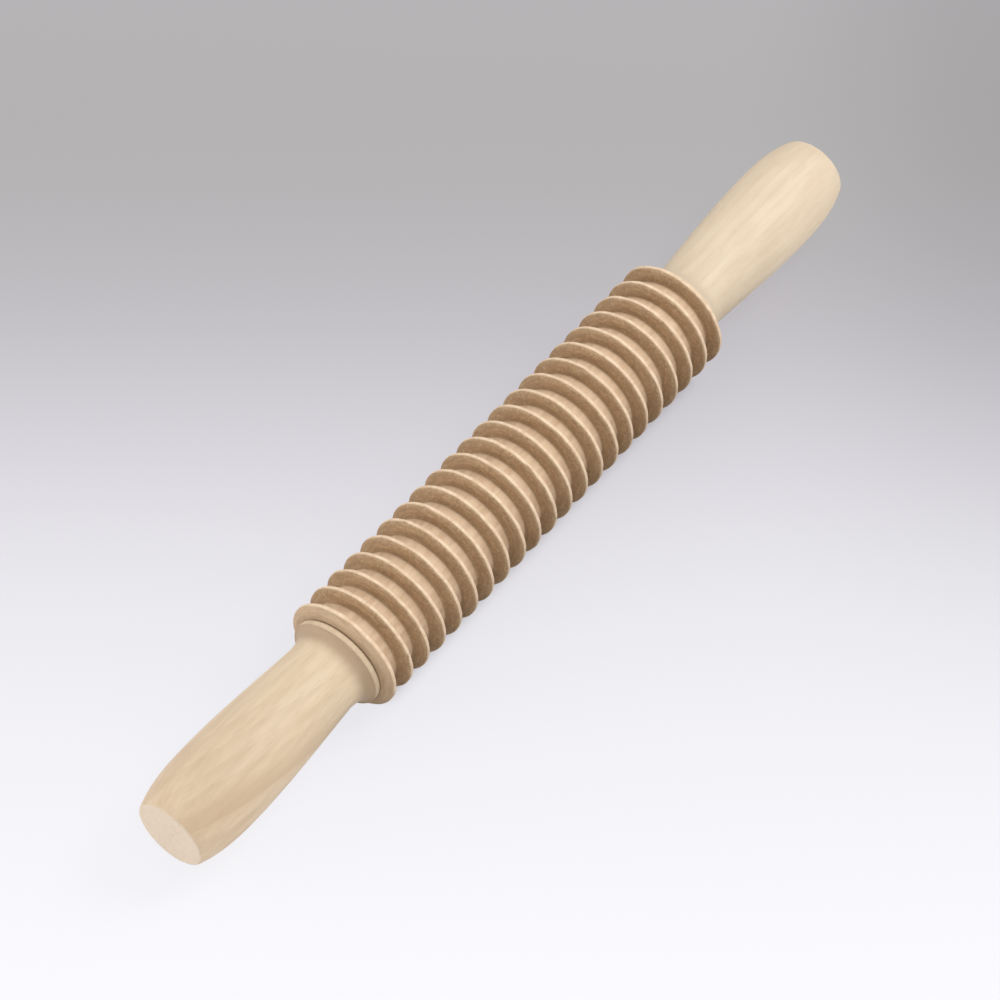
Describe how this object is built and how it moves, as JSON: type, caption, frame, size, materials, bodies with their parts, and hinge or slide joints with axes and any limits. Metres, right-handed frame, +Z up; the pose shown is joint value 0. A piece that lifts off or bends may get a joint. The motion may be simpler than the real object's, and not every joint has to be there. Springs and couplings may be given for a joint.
{
  "type": "pasta cutter rolling pin",
  "caption": "Wooden rolling pin whose ribbed barrel turns on a steel rod between two swelling handles and cuts rolled dough into wide ribbons.",
  "frame": {"origin": "the middle of the barrel on its turning axis, which is the centre of the bounding box", "axes": "+X along the turning axis towards the right handle, +Z up when the pin lies on a table"},
  "size_m": [0.3208, 0.0382, 0.0382],
  "materials": {
    "barrel_wood": "turned and sanded, unvarnished",
    "handle_wood": "fine sanded, unvarnished",
    "rod_steel": "drawn bar, satin",
    "bush_nylon": "moulded nylon",
    "washer_steel": "stamped, satin",
    "insert_brass": "machined"
  },
  "bodies": {
    "handles": {"handle_left": "handle_wood", "handle_right": "handle_wood", "axle_rod": "rod_steel", "thrust_washer_left": "washer_steel", "thrust_washer_right": "washer_steel", "threaded_insert_left": "insert_brass", "threaded_insert_right": "insert_brass"},
    "roller": {"barrel": "barrel_wood", "bush_left": "bush_nylon", "bush_right": "bush_nylon"}
  },
  "joints": [
    {"name": "barrel_spin", "type": "hinge", "parent": "handles", "child": "roller", "pos_m": [0, 0, 0], "axis": [1, 0, 0], "continuous": true}
  ]
}
